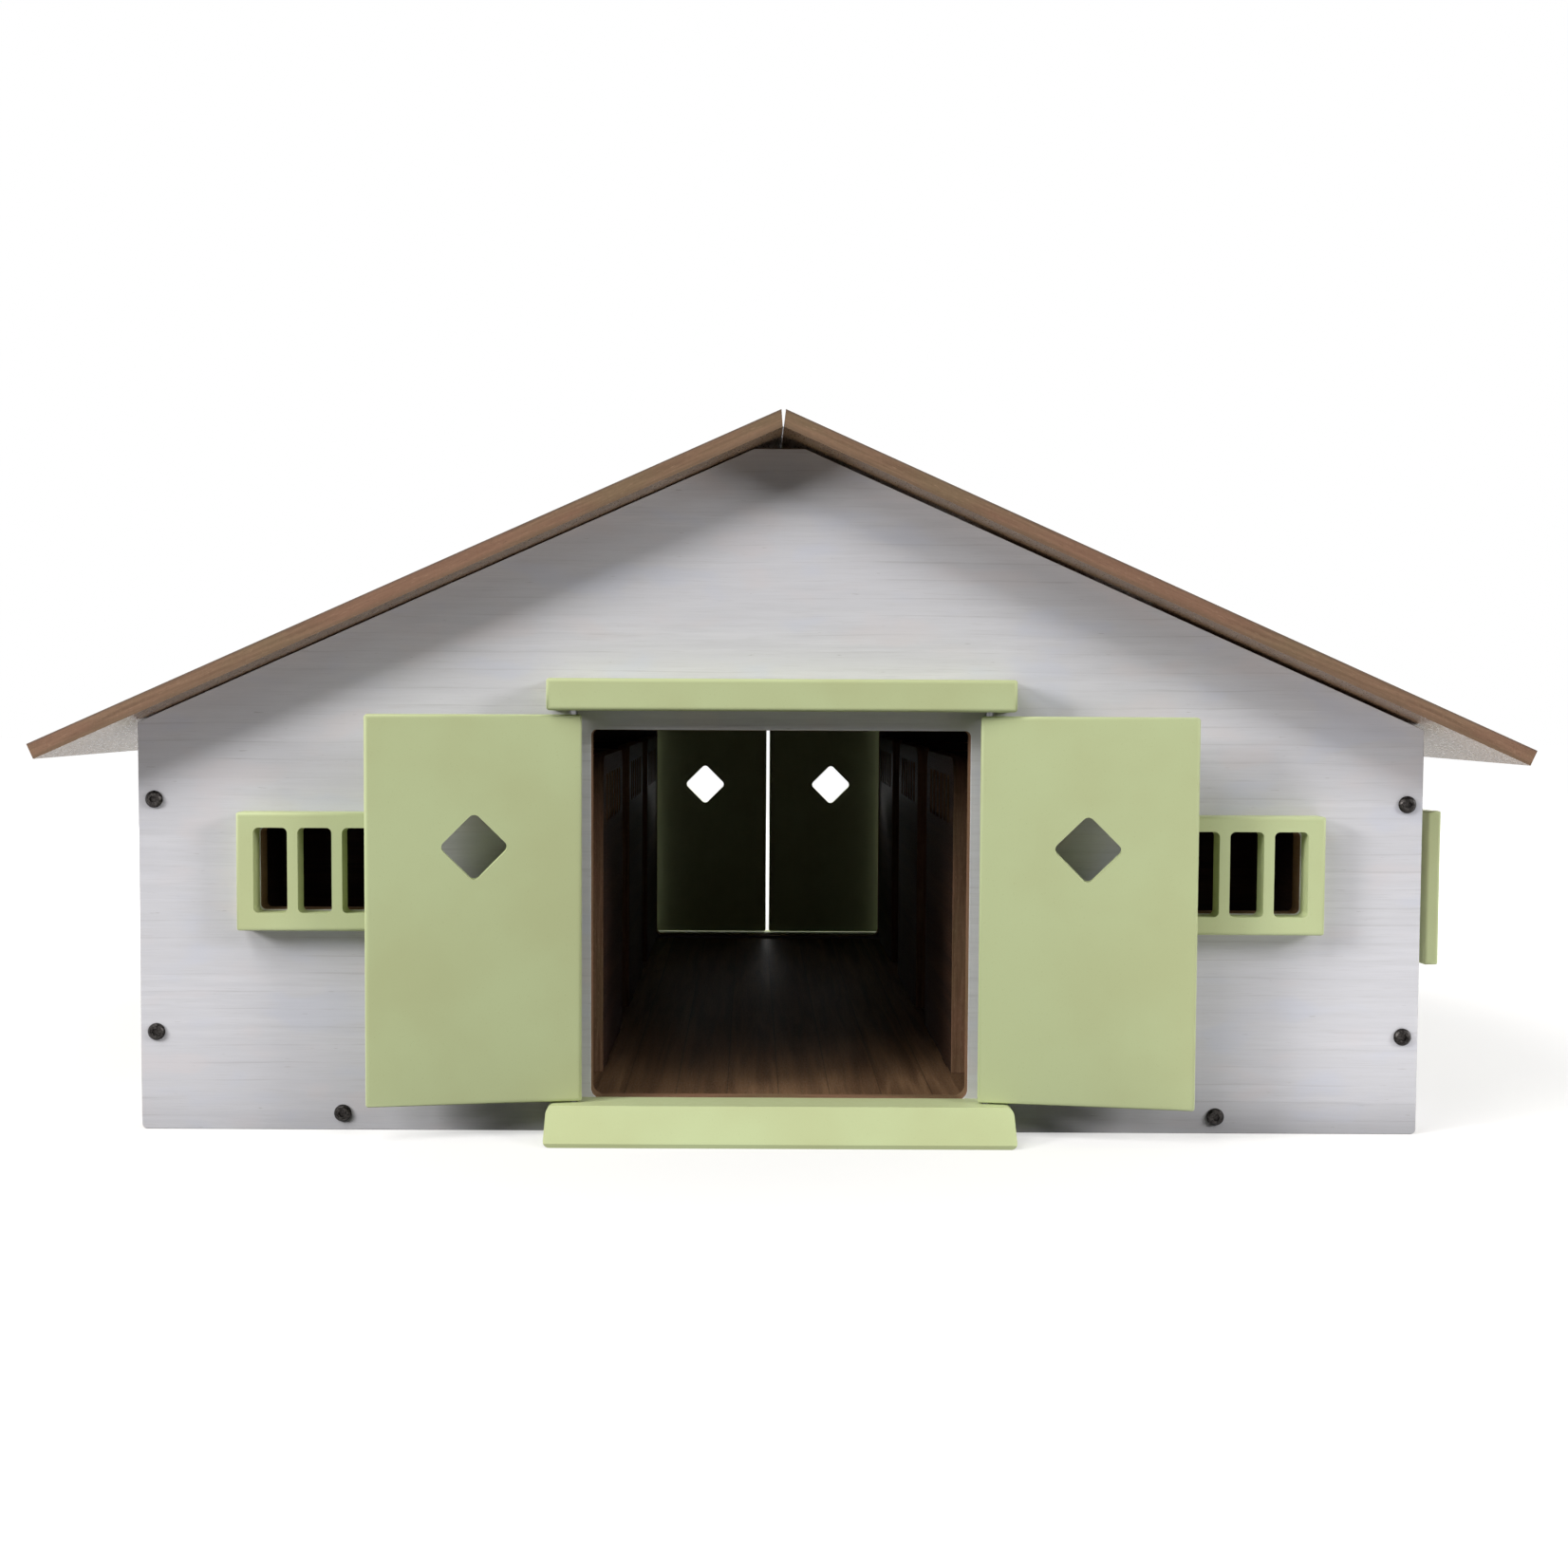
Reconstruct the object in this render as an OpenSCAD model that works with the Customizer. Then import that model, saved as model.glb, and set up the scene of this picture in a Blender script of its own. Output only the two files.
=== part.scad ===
// Toy horse barn of painted board: gable walls with double doors, a ridge roof whose right
// half lifts, six stalls along a middle aisle, and a hatch in the side wall of every stall.
// X runs to the right, Y to the back, Z up. The origin is at the middle of the footprint.

/* [House] */
// Outer width over the side walls
house_w = 485; // [470:1:520]
// Outer depth over the gable walls
house_d = 480; // [465:1:540]
// Thickness of the gable walls
gable_t = 9; // [8:0.5:12]
// Thickness of the side walls
side_t = 12; // [10:0.5:15]
// Radius of the bottom corners of the gable walls
gable_corner_r = 2; // [1:0.5:5]
// Width of the flat cut at the top of the gable
gable_flat_w = 17; // [10:1:30]

/* [Floor and stalls] */
// Thickness of the floor board
floor_t = 9; // [7:0.5:12]
// Air under the floor board
floor_lift = 2; // [1:0.5:4]
// Thickness of the stall boards
stall_t = 6; // [5:0.5:8]
// Height of the stall boards above the floor
stall_h = 130; // [115:1:140]
// Number of stalls on each side of the aisle
stall_n = 3; // [3:1:3]
// Width of the way from the aisle into a stall
stall_way = 46; // [40:1:54]
// Radius at the top corners of the stall fronts
stall_corner_r = 8; // [4:1:12]
// Height of the gaps between the bars of a stall front
stall_slot_h = 20; // [14:1:28]
// Width of one gap between the bars of a stall front
stall_slot_w = 9; // [7:0.5:10]
// Spacing of the gaps in a stall front
stall_slot_pitch = 14; // [13:0.5:16]
// Number of gaps in a stall front
stall_slot_n = 6; // [3:1:6]
// Board left above the gaps of a stall front
stall_slot_top = 8; // [6:0.5:14]
// Length of the tabs that hold the stall boards in the floor
tab_l = 18; // [12:1:24]
// Distance of a tab from the end of its board
tab_inset = 14; // [10:1:20]
// Play round a tab in its floor slot
tab_play = 0.1; // [0.05:0.05:0.3]

/* [Roof] */
// Distance between the two eave edges
roof_span = 553; // [540:1:590]
// Roof pitch in degrees
roof_pitch = 24; // [22:0.1:26]
// Height of the ridge
ridge_h = 270; // [262:1:290]
// Thickness of a roof half
roof_t = 6; // [5:0.5:8]
// How far the roof stands out past a gable wall
roof_overhang = 20; // [12:1:23]
// Half of the joint between the roof halves at the top
ridge_joint_top = 0.8; // [0.5:0.1:1.5]
// Half of the joint between the roof halves at the underside
ridge_joint_low = 0.3; // [0.2:0.05:0.5]
// Gap between the gable and the left roof half, which is fixed
roof_gap_fixed = 0.5; // [0.1:0.1:1]
// Gap between the gable and the right roof half, which lifts
roof_gap_lift = 1.4; // [0.5:0.1:2]
// Gap between the lifting roof half and the side wall that it rests on
roof_gap_seat = 0.3; // [0.2:0.05:0.5]

/* [Doorway] */
// Width of the doorway
doorway_w = 143; // [134:1:146]
// Height of the top of the doorway
doorway_top = 152.7; // [148:0.1:156]
// Radius of the top corners of the doorway
doorway_r = 2; // [1:0.5:6]
// Radius of the bottom corners of the doorway
doorway_low_r = 4; // [1:0.5:6]
// Step from the ramp down to the sill of the doorway
sill_step = 0.5; // [0:0.1:1.5]
// Length of the lintel and of the ramp
trim_w = 174; // [168:1:186]
// Depth of the lintel
lintel_d = 15; // [13:0.5:18]
// Height of the lintel
lintel_h = 12; // [10:0.5:16]
// Depth of the ramp on the ground
ramp_d = 26.5; // [23.5:0.1:30]
// Depth of the level part of the ramp
ramp_flat = 15; // [12:0.5:18]
// Height of the ramp
ramp_h = 13; // [11:0.5:15]
// Height of the ramp's front edge
ramp_lip = 1.5; // [1:0.5:5]
// Corner radius of the ramp's ends
ramp_corner_r = 2.5; // [1:0.5:5]
// Corner radius of painted board
paint_r = 1.5; // [0.5:0.1:2]

/* [Doors] */
// Width of a door leaf
door_w = 79.5; // [70:0.1:80.5]
// Height of a door leaf
door_h = 145; // [140:0.5:150]
// Thickness of a door leaf
door_t = 6; // [5:0.5:8]
// Gap between a leaf and the ramp under it
leaf_gap_low = 0.5; // [0.3:0.1:1.5]
// Gap between a leaf and the lintel over it
leaf_gap_top = 1.5; // [0.5:0.1:3]
// Half of the gap between two closed leaves
leaf_gap_mid = 1; // [0.5:0.1:2]
// Distance of the pin from the leaf's edge
pin_edge = 3; // [2.5:0.1:4]
// Distance of the pin from the wall
pin_out = 7.5; // [7:0.1:9]
// Diameter of a leaf's pin
pin_d = 3; // [2:0.1:3.2]
// Depth of the pin in the leaf
pin_in_leaf = 10; // [6:0.5:16]
// Depth of the pin in the rail, lintel or ramp that holds it
pin_in_trim = 6; // [4:0.5:7]
// Play round the pin where it turns
pin_play = 0.08; // [0.04:0.01:0.1]
// Play round the pin where it is pressed in, and of screws in their holes
press_play = 0.02; // [0.01:0.01:0.05]
// Side of the diamond cut-out
diamond_side = 18.4; // [12:0.1:24]
// Corner radius of the diamond cut-out
diamond_r = 2.5; // [1:0.1:4]
// Height of the middle of the diamond above the table
diamond_z = 109.4; // [80:0.1:125]
// Opening angle at which the front doors stand
front_open = 170.5; // [0:0.5:175.5]
// Opening angle at which the back doors stand
back_open = 0; // [0:0.5:175.5]

/* [Windows] */
// Distance from the middle of the gable to the middle of a window
window_x = 174; // [168:0.1:182]
// Height of the underside of a window frame
window_z = 77; // [60:0.5:85]
// Height of a window frame
window_h = 44.6; // [40:0.1:50]
// Thickness of a window frame
window_t = 9; // [7:0.5:9.5]
// Number of openings in a window frame
window_n = 3; // [2:1:4]
// Width of one opening in a window frame
window_slot_w = 12.7; // [10:0.1:14]
// Height of the openings in a window frame
window_slot_h = 32; // [26:0.5:35]
// Width of a bar between two openings
window_bar_w = 3.9; // [3:0.1:5]
// Border at the left and right of a window frame
window_border = 6.6; // [5:0.1:9]
// Border under the openings of a window frame
window_foot = 6.8; // [5:0.1:8]
// Corner radius of the window openings
window_slot_r = 2; // [1:0.1:4]
// How far the hole in the wall stays inside the outermost openings
window_reveal = 0.5; // [0:0.1:2]

/* [Stall hatches] */
// Distance from a stall's front end to the pin of its hatch
hatch_from = 51; // [48:0.5:56]
// Width of a hatch
hatch_w = 47; // [42:0.5:49]
// Height of a hatch
hatch_h = 60; // [50:0.5:64]
// Depth of the hatches' lower edges under the top of a side wall
hatch_z = 92.4; // [89:0.1:99]
// Overlap of a closed hatch on the wall round its opening
hatch_lap = 5; // [3.5:0.5:8]
// Corner radius of the hatch opening
hatch_open_r = 3; // [1:0.5:6]
// Height of the rails that hold the hatches
rail_h = 10; // [9:0.5:14]
// Length of rail past the outermost pins
rail_end = 11; // [8:0.5:14]
// Opening angle of the first hatch on the right
first_hatch_open = 175.8; // [0:0.1:178]
// Opening angle of the other hatches
hatch_open = 0; // [0:1:178]

/* [Ridge hinges] */
// Length of a hinge
hinge_l = 40; // [30:1:60]
// Distance of a hinge's middle from the middle of the ridge
hinge_y = 165; // [120:1:185]
// Width of a hinge leaf, measured from the pin
hinge_w = 17; // [15:0.5:24]
// Thickness of a hinge leaf
hinge_t = 1; // [0.8:0.1:1.5]
// Outer diameter of the knuckles
knuckle_d = 4.6; // [4.2:0.1:6]
// Number of knuckles on a hinge
knuckle_n = 5; // [5:2:7]
// Gap between two knuckles
knuckle_gap = 0.3; // [0.2:0.05:0.5]
// Height of the knuckles over the roof
knuckle_lift = 0.3; // [0.2:0.05:0.6]
// Diameter of the hinge pin
hinge_pin_d = 2.2; // [1.8:0.1:2.4]
// Diameter of the heads of the hinge pin
hinge_pin_head_d = 3.4; // [3:0.1:4.2]
// Thickness of the heads of the hinge pin
hinge_pin_head_h = 0.8; // [0.5:0.1:1]
// Distance of a hinge screw from the pin
hinge_screw_u = 11; // [9:0.5:12]
// Spacing of the hinge screws along the ridge
hinge_screw_pitch = 13; // [8:0.5:15]

/* [Screws] */
// Head diameter of a wall screw
bolt_head_d = 6.5; // [5:0.1:8]
// Height of a wall screw's head
bolt_head_h = 1.6; // [1:0.1:3]
// Shank diameter of a wall screw
bolt_d = 3.4; // [2.5:0.1:4]
// Length of a wall screw under its head
bolt_l = 32; // [20:1:45]
// Width of the hexagon socket in a wall screw
bolt_socket = 2.5; // [1.5:0.1:3]
// Height of the upper screws into the side walls
bolt_high_z = 125.8; // [115:0.1:135]
// Height of the lower screws into the side walls
bolt_low_z = 37.4; // [25:0.1:50]
// Distance from the middle of the gable to a screw into the floor
bolt_floor_x = 166; // [120:1:200]
// Head diameter of a roof screw
roof_screw_head_d = 6; // [5:0.1:8]
// Shank diameter of a roof screw
roof_screw_d = 3; // [2:0.1:3.5]
// Length of a roof screw
roof_screw_l = 25; // [15:1:35]
// Distance from the ridge to the first roof screw
roof_screw_from = 60; // [45:1:70]
// Spacing of the roof screws down the slope
roof_screw_pitch = 80; // [60:1:85]
// Number of roof screws over each gable
roof_screw_n = 3; // [2:1:3]
// Head diameter of a hinge screw
hinge_screw_head_d = 4.4; // [3.5:0.1:5]
// Shank diameter of a hinge screw
hinge_screw_d = 2.2; // [1.6:0.1:2.6]
// Length of a hinge screw
hinge_screw_l = 5.5; // [4:0.1:5.5]

/* [Hidden] */
$fn = 48;
// Overcut that takes a hole clean through a board
cut = 1;
// Number of turns and sides
LEFT = -1;
RIGHT = 1;
FRONT = -1;
BACK = 1;
paint_green = [0.76, 0.86, 0.58];
wall_white = [0.86, 0.86, 0.89];
board_brown = [0.55, 0.42, 0.34];
steel_dark = [0.25, 0.24, 0.24];
steel = [0.7, 0.7, 0.72];

// Inside of the house
inner_half_w = house_w / 2 - side_t;
inner_half_d = house_d / 2 - gable_t;
floor_top = floor_lift + floor_t;
stall_top = floor_top + stall_h;
// Stalls: the first starts at the front wall, and a partition closes each but the last
stall_l = (2 * inner_half_d - (stall_n - 1) * stall_t) / stall_n;
stall_pitch = stall_l + stall_t;
aisle_half = doorway_w / 2;
// Roof: the top faces of both halves meet at the ridge line
slope_cos = cos(roof_pitch);
slope_sin = sin(roof_pitch);
slope_tan = tan(roof_pitch);
roof_l = house_d + 2 * roof_overhang;
// The hinge axis lies over the ridge, clear of both top faces
knuckle_r = knuckle_d / 2;
axis_off = knuckle_r + knuckle_lift;
axis_z = ridge_h + axis_off / slope_cos;
// Doors
ramp_top = ramp_h;
sill_z = ramp_top - sill_step;
door_z = ramp_top + leaf_gap_low;
lintel_z = door_z + door_h + leaf_gap_top;
door_pin_x = leaf_gap_mid + door_w - pin_edge;
// Hatches
rail_reach = lintel_d;
hatch_low = under_roof(house_w / 2, roof_gap_fixed) - hatch_z;
hatch_pin_y0 = -inner_half_d + hatch_from;
window_w = 2 * window_border + window_n * window_slot_w + (window_n - 1) * window_bar_w;
window_pitch = window_slot_w + window_bar_w;

// Height of the line under a roof half at a distance from the middle, with a gap below it
function under_roof(x, gap) = ridge_h - x * slope_tan - (roof_t + gap) / slope_cos;
// Distance from the middle where that line reaches a height
function under_roof_x(z, gap) = (ridge_h - (roof_t + gap) / slope_cos - z) / slope_tan;
gable_top = under_roof(gable_flat_w / 2, roof_gap_lift);
function stall_start(k) = -inner_half_d + (k - 1) * stall_pitch;
function front_start(k) = stall_start(k) + stall_way;
function front_end(k) = k < stall_n ? stall_start(k) + stall_pitch : inner_half_d;
function hatch_pin_y(k) = hatch_pin_y0 + (k - 1) * stall_pitch;

// Rectangle with round corners, about its middle
module rounded_rect(w, h, r) {
    square([w - 2 * r, h], center = true);
    square([w, h - 2 * r], center = true);
    for (sx = [-1, 1], sy = [-1, 1])
        translate([sx * (w / 2 - r), sy * (h / 2 - r)])
            circle(r);
}

// Block with every edge rounded, about its middle
module soft_block(x, y, z, r) {
    intersection() {
        linear_extrude(z, center = true) rounded_rect(x, y, r);
        rotate([90, 0, 0]) linear_extrude(y, center = true) rounded_rect(x, z, r);
        rotate([90, 0, 90]) linear_extrude(x, center = true) rounded_rect(y, z, r);
    }
}

// Board standing in the XZ plane, from y = 0 to y = t
module upright(t) {
    translate([0, t, 0]) rotate([90, 0, 0]) linear_extrude(t) children();
}

// Board standing in the YZ plane, from x = 0 to x = t
module sideways(t) {
    rotate([90, 0, 90]) linear_extrude(t) children();
}

// Left or right copy of something drawn for the right side
module on_side(side) {
    mirror([side == LEFT ? 1 : 0, 0, 0]) children();
}

// Something drawn for the front, with the face of the gable wall at y = 0
module on_gable(face) {
    mirror([0, face == BACK ? 1 : 0, 0])
        translate([0, -house_d / 2, 0])
            children();
}

// Frame on the top face of a roof half: X runs down the slope, Z stands off the face
module on_slope(side, z = ridge_h) {
    on_side(side) translate([0, 0, z]) rotate([0, roof_pitch, 0]) children();
}

// Screw with a low round head and a hexagon socket; its head rests on the plane z = 0
module wall_screw() {
    difference() {
        union() {
            cylinder(h = bolt_head_h * 0.45, d = bolt_head_d);
            translate([0, 0, bolt_head_h * 0.45])
                cylinder(h = bolt_head_h * 0.55, d1 = bolt_head_d, d2 = bolt_head_d * 0.72);
            translate([0, 0, -bolt_l]) cylinder(h = bolt_l, d = bolt_d);
        }
        translate([0, 0, bolt_head_h * 0.35])
            cylinder(h = bolt_head_h, d = bolt_socket * 2 / sqrt(3), $fn = 6);
    }
}

// Countersunk screw; its flat head is level with the plane z = 0
module flat_screw(head_d, shank_d, len) {
    head_h = (head_d - shank_d) / 2;
    translate([0, 0, -head_h]) cylinder(h = head_h, d1 = shank_d, d2 = head_d);
    translate([0, 0, -len]) cylinder(h = len, d = shank_d);
}

// Places of the screws through a gable wall, with Z pointing out of the wall
module at_wall_screws(face) {
    on_gable(face)
        for (side = [LEFT, RIGHT]) {
            for (z = [bolt_low_z, bolt_high_z])
                translate([side * (house_w / 2 - side_t / 2), 0, z]) rotate([90, 0, 0]) children();
            translate([side * bolt_floor_x, 0, floor_lift + floor_t / 2])
                rotate([90, 0, 0]) children();
        }
}

// Places of the screws through the fixed roof half into the gables
module at_roof_screws() {
    for (face = [FRONT, BACK], k = [0 : roof_screw_n - 1])
        translate([0, face * (house_d - gable_t) / 2, 0])
            on_slope(LEFT)
                translate([roof_screw_from + k * roof_screw_pitch, 0, 0])
                    children();
}

// Places of the screws of both ridge hinges on one roof half
module at_hinge_screws(side) {
    for (face = [FRONT, BACK], k = [-1, 0, 1])
        translate([0, face * hinge_y + k * hinge_screw_pitch, 0])
            on_slope(side, axis_z)
                translate([hinge_screw_u, 0, hinge_t - axis_off])
                    children();
}

module bolt_holes() {
    translate([0, 0, -bolt_l - cut]) cylinder(h = bolt_l + 2 * cut, d = bolt_d + 2 * press_play);
}

module flat_screw_hole(head_d, shank_d, len) {
    play = 2 * press_play;
    flat_screw(head_d + play, shank_d + play, len + press_play);
    cylinder(h = cut, d = head_d + play);
}

module hinge_screw_hole() {
    flat_screw_hole(hinge_screw_head_d, hinge_screw_d, hinge_screw_l);
}

module roof_screw_hole() {
    flat_screw_hole(roof_screw_head_d, roof_screw_d, roof_screw_l);
}

// Floor board with the slots for the tabs of the stall boards
module floor_panel() {
    color(board_brown)
        difference() {
            translate([-inner_half_w, -inner_half_d, floor_lift])
                cube([2 * inner_half_w, 2 * inner_half_d, floor_t]);
            for (side = [LEFT, RIGHT]) {
                for (k = [1 : stall_n]) on_side(side) front_tabs(k, tab_play, cut);
                for (k = [1 : stall_n - 1]) on_side(side) partition_tabs(k, tab_play, cut);
            }
            at_wall_screws(FRONT) bolt_holes();
            at_wall_screws(BACK) bolt_holes();
        }
}

// The two tabs of a board of length l, drawn in the plane of the board
module tabs_2d(l, play, over) {
    for (x = [tab_inset, l - tab_inset - tab_l])
        translate([x - play, floor_lift - over])
            square([tab_l + 2 * play, floor_t + over + (over > 0 ? cut : 0)]);
}

module front_tabs(k, play, over) {
    translate([aisle_half - play, front_start(k), 0])
        sideways(stall_t + 2 * play)
            tabs_2d(front_end(k) - front_start(k), play, over);
}

module partition_tabs(k, play, over) {
    translate([aisle_half + stall_t, stall_start(k) + stall_l - play, 0])
        upright(stall_t + 2 * play)
            tabs_2d(inner_half_w - aisle_half - stall_t, play, over);
}

// Room under the right roof half, which trims what would reach into the roof
module below_roof_2d() {
    polygon([[0, 0], [house_w / 2, 0], [house_w / 2, under_roof(house_w / 2, roof_gap_lift)],
             [0, under_roof(0, roof_gap_lift)]]);
}

// Outline of a gable wall: the roof gap differs on the two slopes
module gable_2d() {
    half = house_w / 2;
    xl = under_roof_x(gable_top, roof_gap_fixed);
    xr = under_roof_x(gable_top, roof_gap_lift);
    intersection() {
        polygon([[-half, 0], [half, 0], [half, under_roof(half, roof_gap_lift)],
                 [xr, gable_top], [-xl, gable_top], [-half, under_roof(half, roof_gap_fixed)]]);
        translate([0, ridge_h / 2]) rounded_rect(house_w, ridge_h, gable_corner_r);
    }
}

// Doorway with its own radius at the top and at the bottom corners
module doorway_2d() {
    h = doorway_top - sill_z;
    translate([0, sill_z + h / 2])
        intersection() {
            translate([0, -h / 2]) rounded_rect(doorway_w, 2 * h, doorway_r);
            translate([0, h / 2]) rounded_rect(doorway_w, 2 * h, doorway_low_r);
        }
}

// Hole in the wall behind a window frame
module window_hole_2d() {
    w = window_w - 2 * window_border - 2 * window_reveal;
    translate([window_x, window_z + window_foot + window_slot_h / 2])
        rounded_rect(w, window_slot_h - 2 * window_reveal, window_slot_r);
}

module gable_wall(face) {
    color(wall_white)
        difference() {
            on_gable(face)
                upright(gable_t)
                    difference() {
                        gable_2d();
                        doorway_2d();
                        for (side = [LEFT, RIGHT]) mirror([side == LEFT ? 1 : 0, 0]) window_hole_2d();
                    }
            at_wall_screws(face) bolt_holes();
            at_roof_screws() roof_screw_hole();
        }
}

// Side wall with a hatch opening for each stall
module side_wall(side) {
    gap = side == LEFT ? roof_gap_fixed : roof_gap_seat;
    outer = house_w / 2;
    color(wall_white)
        difference() {
            on_side(side)
                translate([0, inner_half_d, 0])
                    rotate([90, 0, 0])
                        linear_extrude(2 * inner_half_d)
                            polygon([[inner_half_w, 0], [outer, 0],
                                     [outer, under_roof(outer, gap)],
                                     [inner_half_w, under_roof(inner_half_w, gap)]]);
            on_side(side)
                translate([inner_half_w - cut, 0, 0])
                    sideways(side_t + 2 * cut)
                        for (k = [1 : stall_n]) hatch_hole_2d(k);
            at_wall_screws(FRONT) bolt_holes();
            at_wall_screws(BACK) bolt_holes();
        }
}

module hatch_hole_2d(k) {
    w = hatch_w - 2 * hatch_lap;
    h = hatch_h - 2 * hatch_lap;
    translate([hatch_pin_y(k) - pin_edge + hatch_w / 2, hatch_low + hatch_h / 2])
        rounded_rect(w, h, hatch_open_r);
}

// Profile of the right roof half: plumb at the ridge with a slight V, square at the eave
module roof_2d() {
    tip = roof_span / 2;
    tip_z = ridge_h - tip * slope_tan;
    polygon([
        [ridge_joint_top, ridge_h - ridge_joint_top * slope_tan],
        [tip, tip_z],
        [tip - roof_t * slope_sin, tip_z - roof_t * slope_cos],
        [ridge_joint_low, under_roof(ridge_joint_low, 0)]
    ]);
}

module roof_half(side) {
    on_side(side) translate([0, -roof_l / 2, 0]) upright(roof_l) roof_2d();
}

module roof_left() {
    color(board_brown)
        difference() {
            roof_half(LEFT);
            at_roof_screws() roof_screw_hole();
            at_hinge_screws(LEFT) hinge_screw_hole();
        }
}

module roof_right() {
    color(board_brown)
        difference() {
            roof_half(RIGHT);
            at_hinge_screws(RIGHT) hinge_screw_hole();
        }
}

// Stretch of a knuckle along the hinge
knuckle_l = hinge_l / knuckle_n;

module knuckle_rod(k, d) {
    translate([0, -hinge_l / 2 + k * knuckle_l + knuckle_gap / 2, 0])
        rotate([-90, 0, 0])
            cylinder(h = knuckle_l - knuckle_gap, d = d);
}

// One leaf of a ridge hinge, with the knuckles from number first on, every second one
module hinge_leaf(side, face, first) {
    tongue = knuckle_l - knuckle_gap;
    root = knuckle_r + 2 * knuckle_gap;
    color(steel)
        difference() {
            translate([0, face * hinge_y, 0])
                on_slope(side, axis_z)
                    difference() {
                        union() {
                            translate([(root + hinge_w) / 2, 0, hinge_t / 2 - axis_off])
                                linear_extrude(hinge_t, center = true)
                                    rounded_rect(hinge_w - root, hinge_l, hinge_t);
                            for (k = [first : 2 : knuckle_n - 1]) {
                                y = -hinge_l / 2 + k * knuckle_l + knuckle_gap / 2;
                                translate([0, y, -axis_off]) cube([root + 2 * hinge_t, tongue, hinge_t]);
                                knuckle_rod(k, knuckle_d);
                            }
                        }
                        rotate([90, 0, 0])
                            cylinder(h = hinge_l + cut, d = hinge_pin_d + 2 * pin_play, center = true);
                    }
            at_hinge_screws(side) hinge_screw_hole();
        }
}

// Hinge pins with a wide flat head at both ends
module hinge_pins() {
    color(steel)
        for (face = [FRONT, BACK])
            translate([0, face * hinge_y, axis_z])
                rotate([90, 0, 0]) {
                    cylinder(h = hinge_l + 2 * press_play, d = hinge_pin_d, center = true);
                    for (s = [-1, 1])
                        translate([0, 0, s * (hinge_l / 2 + press_play + hinge_pin_head_h / 2)])
                            cylinder(h = hinge_pin_head_h, d = hinge_pin_head_d, center = true);
                }
}

module hinge_screws(side) {
    color(steel) at_hinge_screws(side) flat_screw(hinge_screw_head_d, hinge_screw_d, hinge_screw_l);
}

module roof_screws() {
    color(steel_dark) at_roof_screws() flat_screw(roof_screw_head_d, roof_screw_d, roof_screw_l);
}

module wall_screws(face) {
    color(steel_dark) at_wall_screws(face) wall_screw();
}

// Hole for a pin that turns, from the plane z = 0 downwards
module pin_hole() {
    translate([0, 0, -pin_in_trim - pin_play]) cylinder(h = pin_in_trim + cut, d = pin_d + 2 * pin_play);
}

module lintel(face) {
    color(paint_green)
        on_gable(face)
            difference() {
                translate([0, -lintel_d / 2, lintel_z + lintel_h / 2])
                    soft_block(trim_w, lintel_d, lintel_h, paint_r);
                for (side = [LEFT, RIGHT])
                    translate([side * door_pin_x, -pin_out, lintel_z]) mirror([0, 0, 1]) pin_hole();
            }
}

// Ramp in front of a doorway: level at the wall, then down to a low lip
module ramp(face) {
    color(paint_green)
        on_gable(face)
            difference() {
                intersection() {
                    translate([-trim_w / 2, 0, 0])
                        sideways(trim_w)
                            polygon([[0, 0], [-ramp_d, 0], [-ramp_d, ramp_lip],
                                     [-ramp_flat, ramp_h], [0, ramp_h]]);
                    translate([0, 0, ramp_h / 2])
                        rotate([90, 0, 0])
                            linear_extrude(2 * ramp_d, center = true)
                                rounded_rect(trim_w, ramp_h, ramp_corner_r);
                }
                for (side = [LEFT, RIGHT])
                    translate([side * door_pin_x, -pin_out, ramp_top]) pin_hole();
            }
}

// Frame whose origin is the axis of a door's pins; the closed leaf runs to the middle
module at_door(side, face, open) {
    on_gable(face)
        on_side(side)
            translate([door_pin_x, -pin_out, 0])
                rotate([0, 0, open])
                    children();
}

// Pin pressed into the upper edge of a leaf, with the edge at z = 0
module leaf_pin(gap) {
    translate([0, 0, -pin_in_leaf]) cylinder(h = pin_in_leaf + gap + pin_in_trim, d = pin_d);
}

module leaf_pin_hole() {
    translate([0, 0, -pin_in_leaf]) cylinder(h = pin_in_leaf + cut, d = pin_d + 2 * press_play);
}

// Both pins of a leaf that reaches from z0 up by h
module leaf_pins(z0, h) {
    translate([0, 0, z0 + h]) leaf_pin(leaf_gap_top);
    translate([0, 0, z0]) mirror([0, 0, 1]) leaf_pin(leaf_gap_low);
}

// Painted leaf that hangs on pins at the origin and runs along -X
module leaf(w, h, z0) {
    difference() {
        translate([pin_edge - w / 2, 0, z0 + h / 2]) soft_block(w, door_t, h, paint_r);
        translate([0, 0, z0 + h]) leaf_pin_hole();
        translate([0, 0, z0]) mirror([0, 0, 1]) leaf_pin_hole();
        children();
    }
}

// Barn door with its diamond cut-out
module door(side, face, open) {
    color(paint_green)
        at_door(side, face, open)
            leaf(door_w, door_h, door_z)
                translate([pin_edge - door_w / 2, -door_t / 2 - cut, diamond_z])
                    upright(door_t + 2 * cut)
                        rotate(45) rounded_rect(diamond_side, diamond_side, diamond_r);
}

module door_pins(side, face, open) {
    color(steel) at_door(side, face, open) leaf_pins(door_z, door_h);
}

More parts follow.
